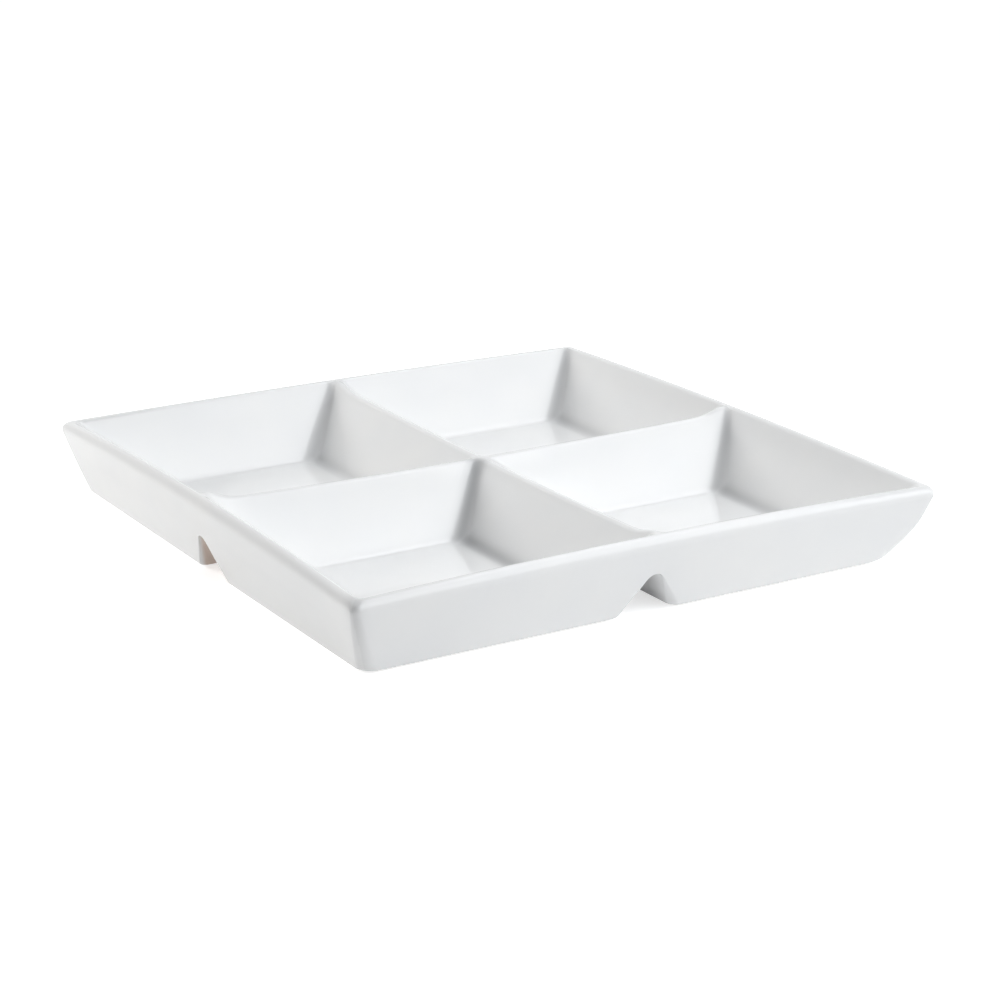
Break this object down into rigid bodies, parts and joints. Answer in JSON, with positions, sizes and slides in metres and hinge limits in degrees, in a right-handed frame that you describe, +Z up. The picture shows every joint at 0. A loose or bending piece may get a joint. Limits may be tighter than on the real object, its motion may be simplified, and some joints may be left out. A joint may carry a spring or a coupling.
{
  "type": "divided serving bowl",
  "caption": "Low square ceramic serving bowl with square wells parted by a cross of dividers, sloping walls, a rounded lip and channels under the dividers.",
  "frame": {"origin": "middle of the underside, on the surface that the bowl stands on", "axes": "+Z up, +X to the right and -Y to the front, with the sides of the square along X and Y"},
  "size_m": [0.3, 0.3, 0.0383],
  "materials": {
    "glaze": "clear glossy glaze over white stoneware",
    "bare_clay": "unglazed foot, wiped before firing and rubbed smooth"
  },
  "bodies": {
    "root": {"front_left_well": "glaze", "front_right_well": "glaze", "back_left_well": "glaze", "back_right_well": "glaze", "rim": "glaze", "divider_cross": "glaze", "front_left_foot": "bare_clay", "front_right_foot": "bare_clay", "back_left_foot": "bare_clay", "back_right_foot": "bare_clay"}
  },
  "joints": []
}
